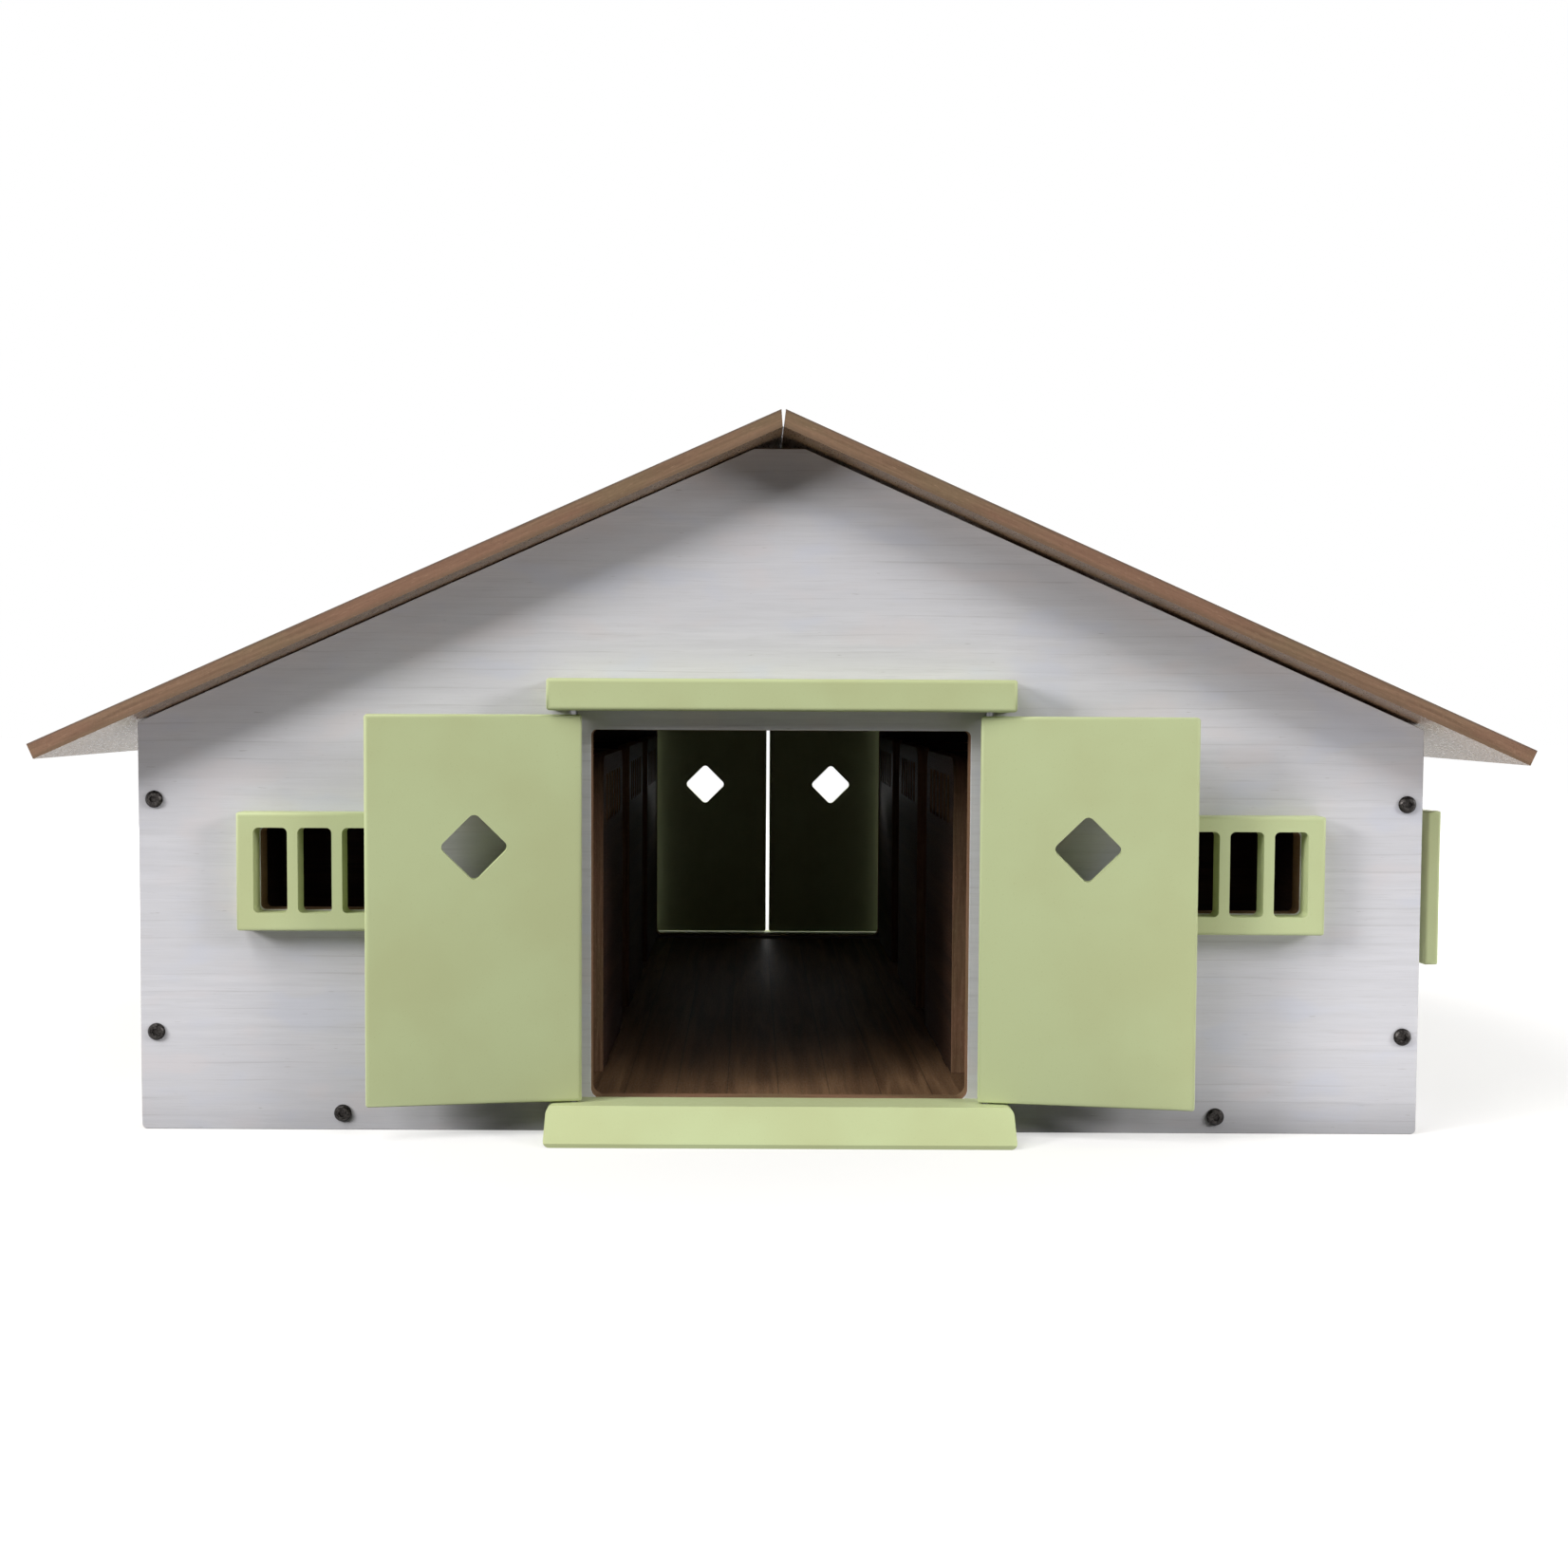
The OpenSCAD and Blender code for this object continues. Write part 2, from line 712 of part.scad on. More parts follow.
// Window frame with upright bars, standing on the face of the gable
module window(side, face) {
    color(paint_green)
        on_gable(face)
            on_side(side)
                translate([window_x, -window_t, window_z])
                    difference() {
                        translate([0, window_t / 2, window_h / 2])
                            soft_block(window_w, window_t, window_h, paint_r);
                        translate([0, -cut, window_foot + window_slot_h / 2])
                            upright(window_t + 2 * cut)
                                for (k = [0 : window_n - 1])
                                    translate([(k - (window_n - 1) / 2) * window_pitch, 0])
                                        rounded_rect(window_slot_w, window_slot_h, window_slot_r);
                    }
}

// Barred board between the aisle and a stall, with tabs into the floor
module stall_front(side, k) {
    l = front_end(k) - front_start(k);
    bars = (stall_slot_n - 1) * stall_slot_pitch;
    color(board_brown)
        on_side(side) {
            front_tabs(k, 0, 0);
            translate([aisle_half, front_start(k), 0])
                sideways(stall_t)
                    difference() {
                        union() {
                            translate([0, floor_top]) square([l, stall_h - stall_corner_r]);
                            translate([l / 2, stall_top - stall_h / 2])
                                rounded_rect(l, stall_h, stall_corner_r);
                        }
                        for (j = [0 : stall_slot_n - 1])
                            translate([l / 2 - bars / 2 + j * stall_slot_pitch,
                                       stall_top - stall_slot_top - stall_slot_h / 2])
                                rounded_rect(stall_slot_w, stall_slot_h, window_slot_r);
                    }
        }
}

// Board between two stalls, from the stall front to the side wall
module partition(side, k) {
    l = inner_half_w - aisle_half - stall_t;
    color(board_brown)
        on_side(side) {
            partition_tabs(k, 0, 0);
            translate([0, stall_start(k) + stall_l, 0])
                upright(stall_t)
                    intersection() {
                        translate([aisle_half + stall_t, floor_top]) square([l, stall_h]);
                        below_roof_2d();
                    }
        }
}

// Rail along a side wall that holds one end of every hatch's pins
module hatch_rail(side, upper) {
    l = (stall_n - 1) * stall_pitch + hatch_w - 2 * pin_edge + 2 * rail_end;
    z = upper ? hatch_low + hatch_h + leaf_gap_top : hatch_low - leaf_gap_low - rail_h;
    color(paint_green)
        on_side(side)
            difference() {
                translate([(house_w + rail_reach) / 2, hatch_pin_y0 - rail_end + l / 2, z + rail_h / 2])
                    soft_block(rail_reach, l, rail_h, paint_r);
                for (k = [1 : stall_n])
                    translate([house_w / 2 + pin_out, hatch_pin_y(k), upper ? z : z + rail_h])
                        mirror([0, 0, upper ? 1 : 0])
                            pin_hole();
            }
}

// Frame whose origin is the axis of a hatch's pins; the closed leaf runs to the back
module at_hatch(side, k, open) {
    on_side(side)
        translate([house_w / 2 + pin_out, hatch_pin_y(k), 0])
            rotate([0, 0, -90 - open])
                children();
}

module hatch(side, k, open) {
    color(paint_green) at_hatch(side, k, open) leaf(hatch_w, hatch_h, hatch_low);
}

module hatch_pins(side, k, open) {
    color(steel) at_hatch(side, k, open) leaf_pins(hatch_low, hatch_h);
}

floor_panel();
gable_wall(FRONT);  // front_wall
gable_wall(BACK);  // back_wall
side_wall(LEFT);  // left_wall
side_wall(RIGHT);  // right_wall
roof_left();
roof_right();
hinge_leaf(LEFT, FRONT, 0);  // front_hinge_fixed_leaf
hinge_leaf(RIGHT, FRONT, 1);  // front_hinge_moving_leaf
hinge_leaf(LEFT, BACK, 0);  // back_hinge_fixed_leaf
hinge_leaf(RIGHT, BACK, 1);  // back_hinge_moving_leaf
hinge_pins();
hinge_screws(LEFT);  // fixed_leaf_screws
hinge_screws(RIGHT);  // moving_leaf_screws
roof_screws();
wall_screws(FRONT);  // front_wall_screws
wall_screws(BACK);  // back_wall_screws
lintel(FRONT);  // front_lintel
lintel(BACK);  // back_lintel
ramp(FRONT);  // front_ramp
ramp(BACK);  // back_ramp
door(LEFT, FRONT, front_open);  // front_left_door
door(RIGHT, FRONT, front_open);  // front_right_door
door(LEFT, BACK, back_open);  // back_left_door
door(RIGHT, BACK, back_open);  // back_right_door
door_pins(LEFT, FRONT, front_open);  // front_left_door_pins
door_pins(RIGHT, FRONT, front_open);  // front_right_door_pins
door_pins(LEFT, BACK, back_open);  // back_left_door_pins
door_pins(RIGHT, BACK, back_open);  // back_right_door_pins
window(LEFT, FRONT);  // front_left_window
window(RIGHT, FRONT);  // front_right_window
window(LEFT, BACK);  // back_left_window
window(RIGHT, BACK);  // back_right_window
stall_front(LEFT, 1);  // left_stall_front_1
stall_front(LEFT, 2);  // left_stall_front_2
stall_front(LEFT, 3);  // left_stall_front_3
stall_front(RIGHT, 1);  // right_stall_front_1
stall_front(RIGHT, 2);  // right_stall_front_2
stall_front(RIGHT, 3);  // right_stall_front_3
partition(LEFT, 1);  // left_partition_1
partition(LEFT, 2);  // left_partition_2
partition(RIGHT, 1);  // right_partition_1
partition(RIGHT, 2);  // right_partition_2
hatch_rail(LEFT, true);  // left_upper_rail
hatch_rail(LEFT, false);  // left_lower_rail
hatch_rail(RIGHT, true);  // right_upper_rail
hatch_rail(RIGHT, false);  // right_lower_rail
hatch(LEFT, 1, hatch_open);  // left_hatch_1
hatch(LEFT, 2, hatch_open);  // left_hatch_2
hatch(LEFT, 3, hatch_open);  // left_hatch_3
hatch(RIGHT, 1, first_hatch_open);  // right_hatch_1
hatch(RIGHT, 2, hatch_open);  // right_hatch_2
hatch(RIGHT, 3, hatch_open);  // right_hatch_3
hatch_pins(LEFT, 1, hatch_open);  // left_hatch_1_pins
hatch_pins(LEFT, 2, hatch_open);  // left_hatch_2_pins
hatch_pins(LEFT, 3, hatch_open);  // left_hatch_3_pins
hatch_pins(RIGHT, 1, first_hatch_open);  // right_hatch_1_pins
hatch_pins(RIGHT, 2, hatch_open);  // right_hatch_2_pins
hatch_pins(RIGHT, 3, hatch_open);  // right_hatch_3_pins
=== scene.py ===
import bpy
import math
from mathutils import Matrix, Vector


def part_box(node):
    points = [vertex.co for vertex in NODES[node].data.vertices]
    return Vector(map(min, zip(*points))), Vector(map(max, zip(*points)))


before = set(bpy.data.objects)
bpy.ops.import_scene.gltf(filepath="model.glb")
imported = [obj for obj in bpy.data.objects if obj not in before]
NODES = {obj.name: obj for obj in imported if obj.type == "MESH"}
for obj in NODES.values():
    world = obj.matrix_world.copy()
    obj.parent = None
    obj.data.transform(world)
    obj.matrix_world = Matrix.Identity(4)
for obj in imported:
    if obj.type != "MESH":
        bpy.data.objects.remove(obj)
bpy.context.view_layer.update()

MM = 0.001

# ---------------------------------------------------------------- sizes taken from the frame
# Middle planes of the gable walls and of the side walls, as distances from the middle of the house
GABLE_MID = sum(c.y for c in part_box("back_wall")) / 2
SIDE_MID = sum(c.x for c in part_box("right_wall")) / 2
# Top face of the roof: its height falls from the ridge by the slope times the distance from the
# middle, and a roof half begins half of the ridge joint away from the middle
ROOF_SLOPE = math.tan(math.radians(24))
RIDGE_JOINT = 0.8 * MM
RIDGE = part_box("roof_left")[1].z + RIDGE_JOINT * ROOF_SLOPE

# ---------------------------------------------------------------- camera, from the photograph's perspective
CAMERA_PLACE = Vector((-0.0116, -0.9123, 0.1642))
CAMERA_PITCH = math.radians(2.70)
CAMERA_ROLL = math.radians(-0.26)
CAMERA_LENS = 40.94
CAMERA_SENSOR = 36
CAMERA_SHIFT_X = 0.0214

# ---------------------------------------------------------------- light
WHITE = (1.0, 1.0, 1.0, 1.0)
SKY_COLOUR = (1.0, 0.98, 0.95, 1.0)
SKY_LIGHT = 0.02
# The table top: its colour where it lights the object; its colour, and how strongly it glows near the
# house and far from it, where it is seen; and the two distances between which the glow rises
GROUND_BOUNCE = (0.05, 0.048, 0.045, 1.0)
GROUND_SHADE = (0.5, 0.49, 0.48, 1.0)
GROUND_GLOW = (0.50, 1.0)
GROUND_FADE = (0.30, 0.75)
GROUND_HALF = 6.0
# Round lamps at one distance from a point of the front wall: degrees to the right of the front,
# degrees up, watts and diameter
LAMP_TARGET = Vector((0.0, -0.24, 0.12))
LAMP_DISTANCE = 1.7
LAMPS = {
    "key": (-45, 48, 13.8, 0.9),
    "left": (-62, 20, 20.0, 0.5),
    "right": (62, 20, 13.2, 0.5),
    "upper_right": (40, 42, 3.6, 0.7),
    "side_right": (100, 15, 6.0, 0.7),
    "back_left": (-155, 18, 12.5, 0.9),
    "back_right": (155, 18, 12.5, 0.9),
    "top": (170, 72, 2.0, 0.9),
}
# Bounce cards that lie on the table before the front wall: middle across and watts
CARDS = {"left_card": (-0.29, 0.09), "right_card": (0.29, 0.21)}
CARD_SIZE = (0.26, 0.20)
CARD_FRONT = -0.36
CARD_HEIGHT = 0.002

# ---------------------------------------------------------------- board
# Least share of a normal along an axis for a face that counts as square to it
SQUARE = 0.75
# Height of a printed course on the white walls, and the share of it that its joint line takes
WHITE_COURSE = 6.8 * MM
WHITE_LINE = 0.09
# Width of the printed planks
WALL_PLANK = 15 * MM
ROOF_PLANK = 24 * MM
STALL_PLANK = 21.7 * MM
FLOOR_PLANK = 20 * MM
PLANK_JOINT = 0.35 * MM
# Depths between which the roof's cut edge darkens, towards its top and towards its lower arris; the
# darkening towards the lower arris is painted shade
TOP_ARRIS = (0.9 * MM, 0.3 * MM)
LOWER_ARRIS_PAINTED_SHADE = (4.0 * MM, 5.6 * MM)
# Depth of the fine relief on board and paint, and on metal
TOOTH = 0.05 * MM
TOOL_MARKS = 0.02 * MM
# How much rougher a cut edge is than a face, and how much smoother an unprinted face
CUT_ROUGHER = 0.2
PLAIN_SMOOTHER = 0.25


def srgb(red, green, blue):
    """Linear colour of a colour given in 0 to 255, as a screen shows it."""
    def linear(value):
        value = value / 255
        return value / 12.92 if value <= 0.04045 else ((value + 0.055) / 1.055) ** 2.4
    return (linear(red), linear(green), linear(blue), 1.0)


class Nodes:
    """A node tree, and a call that adds a node to it with its settings, values and links."""

    def __init__(self, tree):
        self.tree = tree

    def node(self, kind, inputs=(), **settings):
        node = self.tree.nodes.new("ShaderNode" + kind)
        for key, value in settings.items():
            setattr(node, key, value)
        for key, value in dict(inputs).items():
            self.put(node.inputs[key], value)
        return node

    def put(self, socket, value):
        if isinstance(value, bpy.types.NodeSocket):
            self.tree.links.new(value, socket)
        else:
            socket.default_value = value


class Finish(Nodes):
    """One material, with short calls for the nodes that the finishes share."""

    def __init__(self, name, metallic=0.0, gloss=0.5):
        self.material = bpy.data.materials.new(name)
        self.material.use_nodes = True
        super().__init__(self.material.node_tree)
        self.shader = self.tree.nodes["Principled BSDF"]
        self.shader.inputs["Metallic"].default_value = metallic
        self.shader.inputs["Specular IOR Level"].default_value = gloss
        coordinates = self.node("TexCoord")
        self.place = coordinates.outputs["Object"]
        self.normal = coordinates.outputs["Normal"]

    def math(self, operation, *values):
        return self.node("Math", enumerate(values), operation=operation).outputs[0]

    def axis(self, vector, letter):
        return self.node("SeparateXYZ", {0: vector}).outputs[letter]

    def combine(self, x, y, z):
        return self.node("CombineXYZ", {0: x, 1: y, 2: z}).outputs[0]

    def cells(self, x, y, z):
        """The place, scaled so that a noise of it has this many cells to the metre along each axis."""
        return self.node("VectorMath", {0: self.place, 1: (x, y, z)}, operation="MULTIPLY").outputs[0]

    def noise(self, vector, detail, roughness, distortion=0.0):
        sockets = {"Vector": vector, "Scale": 1.0, "Detail": detail, "Roughness": roughness,
                   "Distortion": distortion}
        return self.node("TexNoise", sockets).outputs[0]

    def ramp(self, value, low, high, out_low=0.0, out_high=1.0):
        """Smooth step of the value from low to high."""
        sockets = {0: value, 1: low, 2: high, 3: out_low, 4: out_high}
        return self.node("MapRange", sockets, interpolation_type="SMOOTHSTEP").outputs[0]

    def mix(self, share, first, second):
        """The first colour, with the given share of the second."""
        return self.node("Mix", {0: share, 6: first, 7: second}, data_type="RGBA").outputs[2]

    def bump(self, height, distance, strength):
        sockets = {"Height": height, "Distance": distance, "Strength": strength}
        return self.node("Bump", sockets).outputs[0]

    def finish(self, colour, roughness, normal):
        for name, value in (("Base Color", colour), ("Roughness", roughness), ("Normal", normal)):
            self.put(self.shader.inputs[name], value)
        return self.material


# ---------------------------------------------------------------- finishes
# Each noise below runs in cells to the metre along, across and through its board; a last part that
# is a plain number only sets one noise apart from the next.
def scaled(f, value, per_metre):
    return f.math("MULTIPLY", value, per_metre)


def fibreboard(f, run, cross, through):
    """Colour of a cut fibreboard edge, whose fibres lie in layers parallel to the board's faces."""
    layers = f.noise(f.combine(scaled(f, run, 38), scaled(f, cross, 38), scaled(f, through, 900)), 4, 0.6)
    fibres = f.noise(f.combine(scaled(f, run, 420), scaled(f, cross, 420), scaled(f, through, 2400)), 3, 0.6)
    patches = f.noise(f.combine(scaled(f, run, 24), scaled(f, cross, 24), scaled(f, through, 90)), 2, 0.5)
    colour = f.mix(f.ramp(layers, 0.32, 0.68), srgb(104, 77, 55), srgb(128, 99, 75))
    colour = f.mix(f.ramp(patches, 0.5, 0.66, 0.0, 0.55), colour, srgb(129, 92, 72))
    colour = f.mix(f.ramp(patches, 0.5, 0.34, 0.0, 0.5), colour, srgb(111, 93, 65))
    colour = f.mix(f.ramp(fibres, 0.56, 0.74, 0.0, 0.45), colour, srgb(158, 128, 101))
    return f.mix(f.ramp(fibres, 0.42, 0.27, 0.0, 0.5), colour, srgb(82, 58, 41))


def white_print(f, run, across):
    """Whitewashed boards: pale streaks, faint broken joint lines and a few short dark flecks."""
    streaks = f.noise(f.combine(scaled(f, run, 22), scaled(f, across, 420), 0.0), 4, 0.62)
    fibres = f.noise(f.combine(scaled(f, run, 60), scaled(f, across, 1900), 3.0), 3, 0.6)
    bands = f.noise(f.combine(scaled(f, run, 3.5), scaled(f, across, 110), 7.0), 3, 0.55)
    tints = f.noise(f.combine(scaled(f, run, 26), scaled(f, across, 55), 11.0), 2, 0.5)
    flecks = f.noise(f.combine(scaled(f, run, 120), scaled(f, across, 1300), 17.0), 2, 0.5)
    wave = f.noise(f.combine(scaled(f, run, 10), scaled(f, across, 6), 23.0), 2, 0.5)
    row = f.math("ADD", f.math("DIVIDE", across, WHITE_COURSE), f.math("MULTIPLY", wave, 0.5))
    number = f.math("FLOOR", row)
    offset = f.math("ABSOLUTE", f.math("SUBTRACT", f.math("FRACT", row), 0.5))
    line = f.ramp(offset, 0.5 - WHITE_LINE, 0.5)
    broken = f.noise(f.combine(scaled(f, run, 21), f.math("MULTIPLY", number, 3.7), 29.0), 3, 0.6)
    tone = f.noise(f.combine(f.math("MULTIPLY", number, 1.9), scaled(f, run, 2.2), 31.0), 1, 0.5)

    colour = f.mix(f.ramp(streaks, 0.3, 0.7), srgb(201, 200, 204), srgb(211, 210, 214))
    colour = f.mix(f.ramp(bands, 0.35, 0.68, 0.0, 0.5), colour, srgb(205, 204, 209))
    colour = f.mix(f.ramp(tone, 0.42, 0.62, 0.0, 0.5), colour, srgb(202, 201, 205))
    colour = f.mix(f.ramp(fibres, 0.52, 0.76, 0.0, 0.5), colour, srgb(190, 188, 190))
    colour = f.mix(f.ramp(tints, 0.54, 0.68, 0.0, 0.5), colour, srgb(200, 202, 213))
    colour = f.mix(f.ramp(tints, 0.46, 0.32, 0.0, 0.45), colour, srgb(210, 203, 204))
    lines = f.math("MULTIPLY", line, f.ramp(broken, 0.46, 0.7, 0.03, 0.42))
    colour = f.mix(lines, colour, srgb(164, 161, 163))
    return f.mix(f.ramp(flecks, 0.71, 0.78, 0.0, 0.55), colour, srgb(150, 146, 145))


def brown_print(f, run, across, dark, light, board):
    """Printed brown boards: wavy grain, fine pores and a dark joint at every board."""
    row = f.math("DIVIDE", across, board)
    number = f.math("FLOOR", row)
    shift = f.math("MULTIPLY", number, 0.37)
    moved = f.math("ADD", run, shift)
    figure = f.noise(f.combine(scaled(f, moved, 8), scaled(f, across, 170), shift), 5, 0.6, 0.6)
    fibres = f.noise(f.combine(scaled(f, moved, 45), scaled(f, across, 1500), shift), 3, 0.6)
    tone = f.noise(f.combine(f.math("MULTIPLY", number, 5.3), 0.5, 0.5), 0, 0.5)
    offset = f.math("ABSOLUTE", f.math("SUBTRACT", f.math("FRACT", row), 0.5))
    colour = f.mix(f.ramp(figure, 0.3, 0.7), dark, light)
    colour = f.mix(f.ramp(fibres, 0.45, 0.75, 0.0, 0.45), colour, dark)
    colour = f.mix(f.ramp(tone, 0.3, 0.7, 0.0, 0.4), colour, dark)
    joint = f.ramp(offset, 0.5 - PLANK_JOINT / board, 0.5, 0.0, 0.85)
    return f.mix(joint, colour, tuple(0.35 * c for c in dark[:3]) + (1.0,))


def plain_board(f, run, across):
    """The smooth unprinted face of a fibreboard, with short fibres pressed flat and faint clouds."""
    clouds = f.noise(f.combine(scaled(f, run, 12), scaled(f, across, 17), 41.0), 4, 0.6)
    chips = f.noise(f.combine(scaled(f, run, 150), scaled(f, across, 330), 47.0), 3, 0.65)
    fibres = f.noise(f.combine(scaled(f, run, 500), scaled(f, across, 1300), 43.0), 3, 0.6)
    colour = f.mix(f.ramp(clouds, 0.3, 0.7), srgb(134, 106, 83), srgb(144, 116, 92))
    colour = f.mix(f.ramp(chips, 0.54, 0.72, 0.0, 0.5), colour, srgb(164, 137, 112))
    colour = f.mix(f.ramp(chips, 0.46, 0.3, 0.0, 0.5), colour, srgb(110, 83, 63))
    colour = f.mix(f.ramp(fibres, 0.55, 0.75, 0.0, 0.45), colour, srgb(172, 146, 121))
    return f.mix(f.ramp(fibres, 0.42, 0.28, 0.0, 0.45), colour, srgb(106, 79, 59))


def facing(f, letter, sign=0):
    """1 on faces square to an axis: on both sides, or only on the side of the sign."""
    part = f.axis(f.normal, letter)
    part = f.math("MULTIPLY", part, sign) if sign else f.math("ABSOLUTE", part)
    return f.math("GREATER_THAN", part, SQUARE)


def board_surface(f, run, across, printed, raw, cut, rough=(0.46, 0.64), smooth=0.0):
    """Lays the print on a board's faces and the raw board on its cut edges, with a fine tooth on both."""
    colour = f.mix(cut, printed, raw)
    tooth = f.noise(f.combine(scaled(f, run, 300), scaled(f, across, 1500), 0.0), 3, 0.6)
    coarse = f.math("MULTIPLY", cut, f.noise(f.cells(900, 900, 900), 3, 0.6))
    height = f.math("ADD", tooth, f.math("MULTIPLY", coarse, 2.0))
    roughness = f.math("ADD", f.ramp(tooth, 0.2, 0.8, *rough), f.math("MULTIPLY", cut, CUT_ROUGHER))
    roughness = f.math("SUBTRACT", roughness, f.math("MULTIPLY", smooth, PLAIN_SMOOTHER))
    return f.finish(colour, roughness, f.bump(height, TOOTH, 0.6))


def wall_finish(name, letter, middle):
    """White print outside and dark boards inside, on the faces square to the axis of the letter."""
    f = Finish(name, gloss=0.25)
    run = f.axis(f.place, "X" if letter == "Y" else "Y")
    across = f.axis(f.place, "Z")
    through = f.axis(f.place, letter)
    outside = f.math("GREATER_THAN", f.math("ABSOLUTE", through), middle)
    dark_boards = brown_print(f, run, across, srgb(27, 17, 12), srgb(52, 34, 24), WALL_PLANK)
    printed = f.mix(outside, dark_boards, white_print(f, run, across))
    cut = f.math("SUBTRACT", 1.0, facing(f, letter))
    return board_surface(f, run, across, printed, fibreboard(f, run, across, through), cut)


def roof_finish():
    """Dark boards on top, plain board underneath, cut edges darker along the top, with painted shade along
    the lower arris.
    """
    f = Finish("roof_board")
    x, y, z = (f.axis(f.place, letter) for letter in "XYZ")
    out = f.math("ABSOLUTE", x)
    drop = f.math("SUBTRACT", RIDGE, f.math("ADD", z, f.math("MULTIPLY", out, ROOF_SLOPE)))
    depth = f.math("MULTIPLY", drop, math.cos(math.atan(ROOF_SLOPE)))
    top = brown_print(f, y, out, srgb(66, 62, 60), srgb(98, 93, 89), ROOF_PLANK)
    up = f.axis(f.normal, "Z")
    under = f.math("LESS_THAN", up, -SQUARE)
    printed = f.mix(under, top, plain_board(f, y, out))
    cut = f.math("LESS_THAN", f.math("ABSOLUTE", up), SQUARE)
    raw = fibreboard(f, out, y, depth)
    raw = f.mix(f.ramp(depth, *TOP_ARRIS, 0.0, 0.6), raw, srgb(88, 72, 62))
    # Painted shade: the cut edge darkens towards its lower arris
    raw = f.mix(f.ramp(depth, *LOWER_ARRIS_PAINTED_SHADE, 0.0, 0.55), raw, srgb(98, 78, 56))
    return board_surface(f, y, out, printed, raw, cut, (0.48, 0.64), under)


def stall_finish(name, letter):
    """Dark printed boards, on the faces square to the axis of the letter."""
    f = Finish(name, gloss=0.25)
    run = f.axis(f.place, "X" if letter == "Y" else "Y")
    across = f.axis(f.place, "Z")
    printed = brown_print(f, run, across, srgb(36, 23, 16), srgb(66, 44, 31), STALL_PLANK)
    raw = fibreboard(f, run, across, f.axis(f.place, letter))
    return board_surface(f, run, across, printed, raw, f.math("SUBTRACT", 1.0, facing(f, letter)))


def floor_finish():
    """Golden brown planks along the house."""
    f = Finish("floor_board", gloss=0.3)
    run = f.axis(f.place, "Y")
    across = f.axis(f.place, "X")
    printed = brown_print(f, run, across, srgb(84, 61, 42), srgb(134, 104, 76), FLOOR_PLANK)
    raw = fibreboard(f, run, across, f.axis(f.place, "Z"))
    cut = f.math("SUBTRACT", 1.0, facing(f, "Z", 1))
    return board_surface(f, run, across, printed, raw, cut, (0.36, 0.56))


def paint_finish():
    """Satin green paint with the faint waviness of a sprayed coat."""
    f = Finish("green_paint", gloss=0.18)
    waves = f.noise(f.cells(420, 420, 420), 2, 0.5)
    drift = f.noise(f.cells(22, 22, 22), 3, 0.5)
    dust = f.noise(f.cells(1700, 1700, 1700), 1, 0.5)
    colour = f.mix(f.ramp(drift, 0.3, 0.7), srgb(188, 195, 147), srgb(193, 203, 155))
    colour = f.mix(f.ramp(dust, 0.68, 0.76, 0.0, 0.3), colour, srgb(172, 180, 130))
    height = f.math("ADD", waves, f.math("MULTIPLY", dust, 0.15))
    return f.finish(colour, f.ramp(waves, 0.25, 0.75, 0.38, 0.52), f.bump(height, TOOTH, 0.6))


def metal_finish(name, dark, light, roughness, grain):
    """Bare or blackened metal; the grain is the number of its tool marks to the metre on each axis."""
    f = Finish(name, metallic=1.0)
    marks = f.noise(f.cells(*grain), 3, 0.6)
    drift = f.noise(f.cells(300, 300, 300), 2, 0.5)
    colour = f.mix(f.ramp(marks, 0.3, 0.7), dark, light)
    colour = f.mix(f.ramp(drift, 0.5, 0.8, 0.0, 0.4), colour, dark)
    shine = f.ramp(marks, 0.2, 0.8, roughness - 0.1, roughness + 0.12)
    return f.finish(colour, shine, f.bump(marks, TOOL_MARKS, 0.5))


FINISHES = {
    "paint": paint_finish(),
    "gable": wall_finish("gable_board", "Y", GABLE_MID),
    "side": wall_finish("side_board", "X", SIDE_MID),
    "roof": roof_finish(),
    "floor": floor_finish(),
    "stall_front": stall_finish("stall_front_board", "X"),
    "partition": stall_finish("partition_board", "Y"),
    "hinge": metal_finish("hinge_steel", srgb(108, 108, 111), srgb(158, 158, 160), 0.44, (300, 3000, 300)),
    # The pins' steel is a little darker than the hinge steel: painted shade for the narrow gaps the pins sit
    # in
    "pin": metal_finish("pin_steel", srgb(96, 96, 98), srgb(142, 142, 144), 0.36, (900, 900, 200)),
    "screw": metal_finish("screw_steel", srgb(26, 24, 24), srgb(70, 67, 65), 0.36, (1500, 1500, 1500)),
}


def finish_of(name):
    """Key of the finish that a CAD node gets."""
    if name.endswith("screws"):
        return "hinge" if "leaf" in name else "screw"
    if name.endswith("pins"):
        return "pin"
    if name.endswith("leaf"):
        return "hinge"
    if name in ("front_wall", "back_wall"):
        return "gable"
    if name.endswith("_wall"):
        return "side"
    if name.startswith("roof"):
        return "roof"
    if name == "floor_panel":
        return "floor"
    for word in ("stall_front", "partition"):
        if word in name:
            return word
    return "paint"


# Width of the worn arris, in millimetres, on what has crisp edges in the frame
ARRIS = {"gable": 0.3, "side": 0.3, "floor": 0.3, "stall_front": 0.3, "partition": 0.3,
         "hinge": 0.12, "screw": 0.12}
# Edges that turn less than this stay crisp, such as the rims of countersunk holes
ARRIS_TURN = math.radians(50)
ARRIS_SEGMENTS = 2
# Points closer than this are one point, and faces that turn less than this are one flat face
WELD_GAP = 0.002 * MM
FLAT_TURN = math.radians(0.5)
# How much large faces outweigh small ones in the shading, of 100
LARGE_FACES = 60


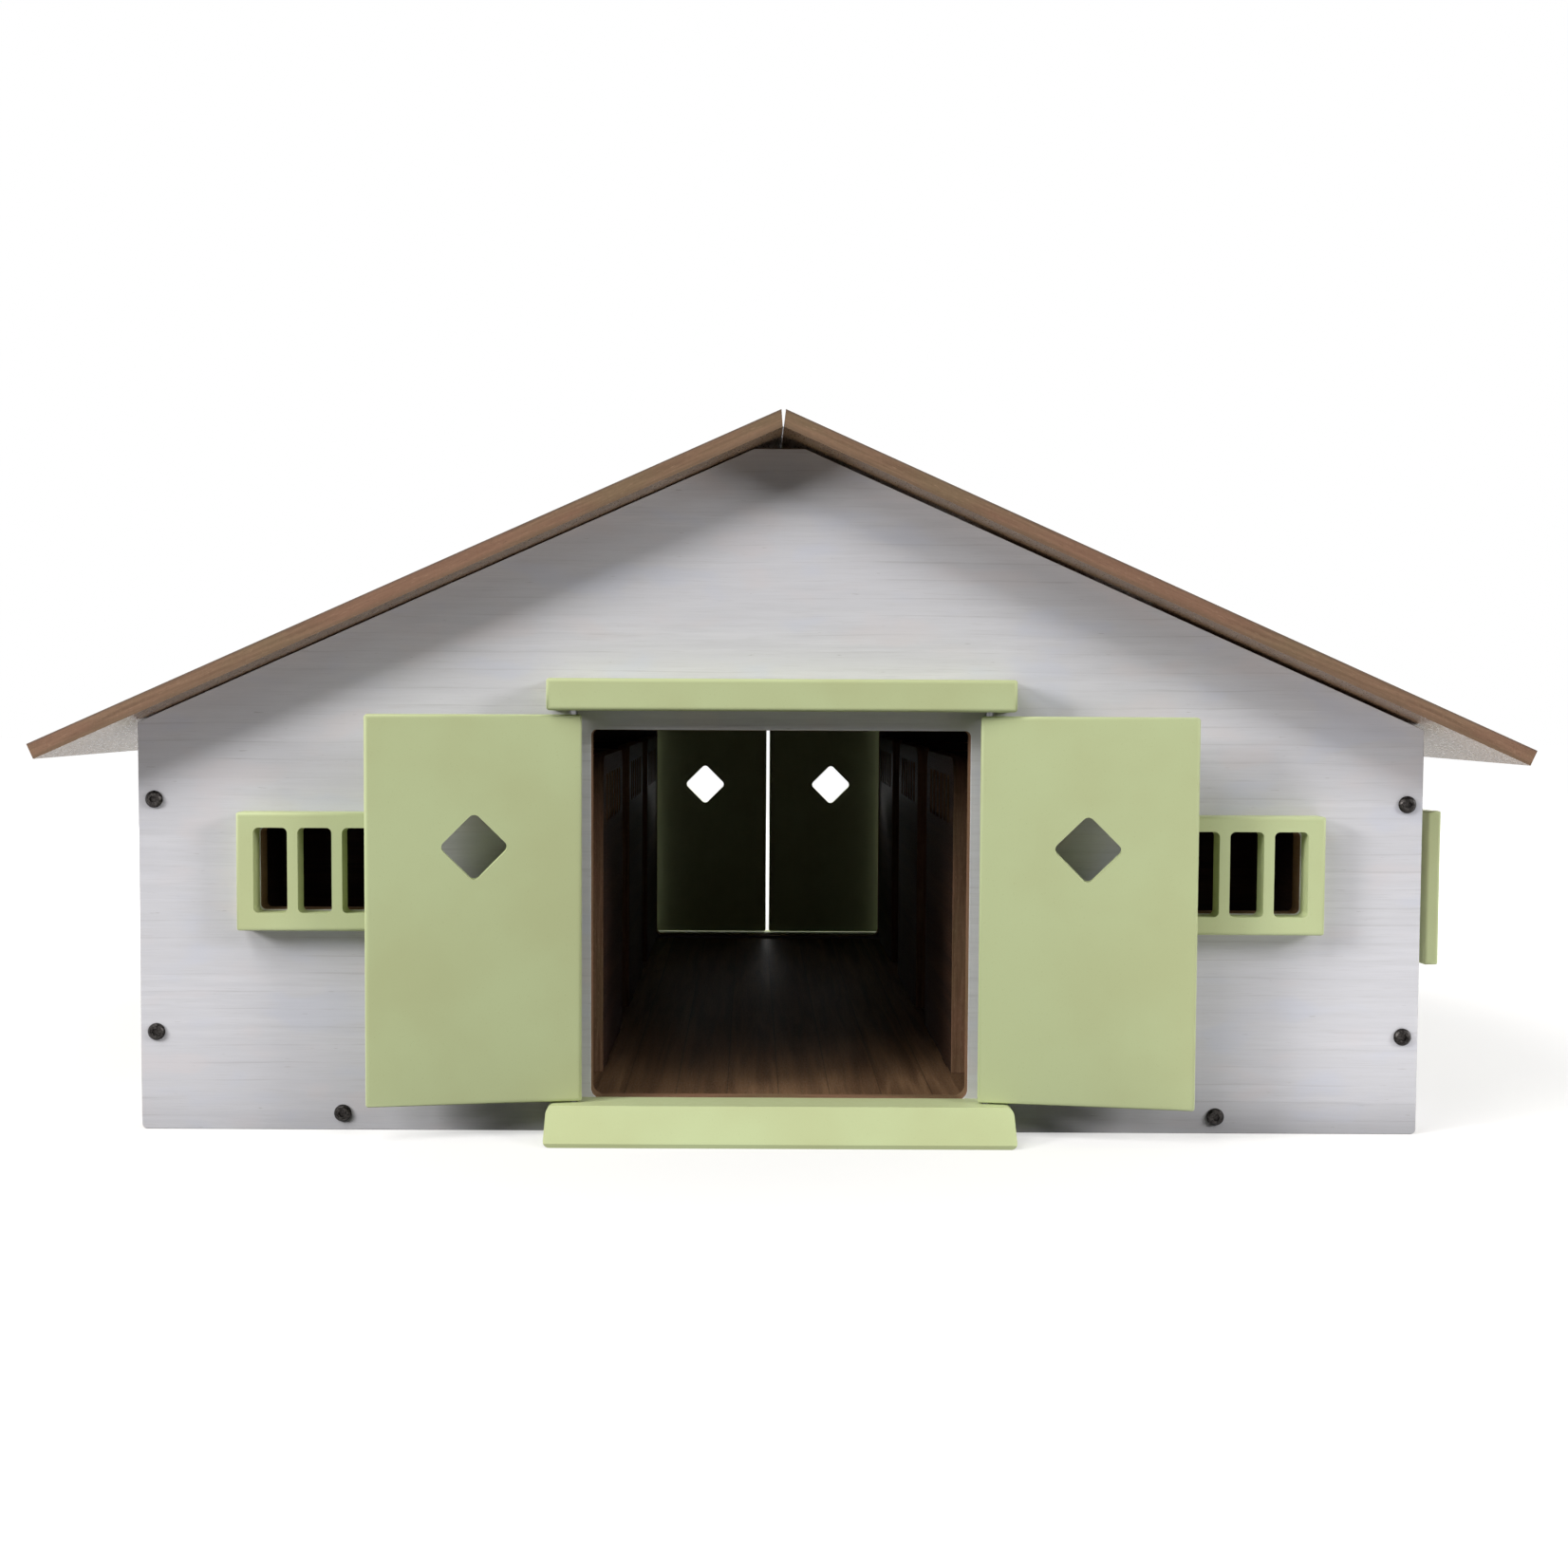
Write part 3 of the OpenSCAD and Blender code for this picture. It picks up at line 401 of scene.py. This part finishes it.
def dress(obj, key):
    """Gives a CAD node its finish, a fine worn arris on crisp boards, and even shading on flat faces."""
    for slot in obj.material_slots:
        slot.material = FINISHES[key]
    weld = obj.modifiers.new("weld", "WELD")
    weld.merge_threshold = WELD_GAP
    flat = obj.modifiers.new("flat_faces", "DECIMATE")
    flat.decimate_type = "DISSOLVE"
    flat.angle_limit = FLAT_TURN
    if key in ARRIS:
        bevel = obj.modifiers.new("arris", "BEVEL")
        bevel.width = ARRIS[key] * MM
        bevel.segments = ARRIS_SEGMENTS
        bevel.limit_method = "ANGLE"
        bevel.angle_limit = ARRIS_TURN
        bevel.use_clamp_overlap = False
    shading = obj.modifiers.new("even_shading", "WEIGHTED_NORMAL")
    shading.weight = LARGE_FACES
    shading.keep_sharp = True


for node_name, node_object in NODES.items():
    dress(node_object, finish_of(node_name))


# ---------------------------------------------------------------- camera
def make_camera():
    data = bpy.data.cameras.new("camera")
    data.lens = CAMERA_LENS
    data.sensor_width = CAMERA_SENSOR
    data.shift_x = CAMERA_SHIFT_X
    camera = bpy.data.objects.new("camera", data)
    bpy.context.scene.collection.objects.link(camera)
    camera.location = CAMERA_PLACE
    camera.rotation_mode = "XYZ"
    camera.rotation_euler = (math.pi / 2 - CAMERA_PITCH, CAMERA_ROLL, 0)
    bpy.context.scene.camera = camera


# ---------------------------------------------------------------- light, floor and background
def area_lamp(name, shape, size, power, place):
    data = bpy.data.lights.new(name, "AREA")
    data.shape = shape
    data.size, data.size_y = size
    data.energy = power
    lamp = bpy.data.objects.new(name, data)
    bpy.context.scene.collection.objects.link(lamp)
    lamp.location = place
    lamp.visible_camera = False
    return lamp


def round_lamp(name, azimuth, elevation, power, diameter):
    """Soft lamp that looks at the house from the given direction."""
    turn, rise = math.radians(azimuth), math.radians(elevation)
    away = Vector((math.sin(turn) * math.cos(rise), -math.cos(turn) * math.cos(rise), math.sin(rise)))
    place = LAMP_TARGET + away * LAMP_DISTANCE
    lamp = area_lamp(name, "DISK", (diameter, diameter), power, place)
    lamp.rotation_mode = "QUATERNION"
    lamp.rotation_quaternion = (-away).to_track_quat("-Z", "Y")


def bounce_card(name, across, power):
    """Light that comes up off the table, as off a sheet of white card."""
    card = area_lamp(name, "RECTANGLE", CARD_SIZE, power, (across, CARD_FRONT, CARD_HEIGHT))
    card.rotation_euler = (math.pi, 0, 0)
    card.visible_glossy = False


class Backdrop(Nodes):
    """Node tree whose look for the camera and in reflections differs from how it lights the object."""

    def __init__(self, tree):
        super().__init__(tree)
        tree.nodes.clear()

    def finish(self, lit, seen, output):
        rays = self.node("LightPath").outputs
        straight = {0: rays["Is Camera Ray"], 1: rays["Is Transmission Ray"]}
        straight = self.node("Math", straight, operation="MAXIMUM").outputs[0]
        shown = self.node("Math", {0: straight, 1: rays["Is Glossy Ray"]}, operation="MAXIMUM")
        mixed = self.node("MixShader", {0: shown.outputs[0], 1: lit.outputs[0], 2: seen.outputs[0]})
        self.node(output, {0: mixed.outputs[0]})


def make_world():
    """Faint even sky light on the object; white wherever the camera, gloss or glass looks past it."""
    world = bpy.data.worlds.new("studio")
    bpy.context.scene.world = world
    world.use_nodes = True
    backdrop = Backdrop(world.node_tree)
    sky = backdrop.node("Background", {"Color": SKY_COLOUR, "Strength": SKY_LIGHT})
    white = backdrop.node("Background", {"Color": WHITE, "Strength": 1.0})
    backdrop.finish(sky, white, "OutputWorld")


def make_ground():
    """Pale table top that fades into the white background and keeps the object's shadow."""
    mesh = bpy.data.meshes.new("ground")
    signs = ((-1, -1), (1, -1), (1, 1), (-1, 1))
    corners = [(GROUND_HALF * x, GROUND_HALF * y, 0) for x, y in signs]
    mesh.from_pydata(corners, [], [(0, 1, 2, 3)])
    ground = bpy.data.objects.new("ground", mesh)
    bpy.context.scene.collection.objects.link(ground)
    material = bpy.data.materials.new("ground")
    material.use_nodes = True
    backdrop = Backdrop(material.node_tree)
    lit = backdrop.node("BsdfDiffuse", {"Color": GROUND_BOUNCE})
    pale = backdrop.node("BsdfDiffuse", {"Color": GROUND_SHADE})
    place = backdrop.node("TexCoord").outputs["Object"]
    away = backdrop.node("VectorMath", {0: place}, operation="LENGTH").outputs["Value"]
    fade = {0: away, 1: GROUND_FADE[0], 2: GROUND_FADE[1], 3: GROUND_GLOW[0], 4: GROUND_GLOW[1]}
    level = backdrop.node("MapRange", fade, interpolation_type="SMOOTHSTEP").outputs[0]
    glow = backdrop.node("Emission", {"Color": WHITE, "Strength": level})
    seen = backdrop.node("AddShader", {0: pale.outputs[0], 1: glow.outputs[0]})
    backdrop.finish(lit, seen, "OutputMaterial")
    mesh.materials.append(material)


make_camera()
make_world()
make_ground()
for lamp_name, lamp_setting in LAMPS.items():
    round_lamp(lamp_name, *lamp_setting)
for card_name, card_setting in CARDS.items():
    bounce_card(card_name, *card_setting)

bpy.context.scene.view_settings.view_transform = "Standard"
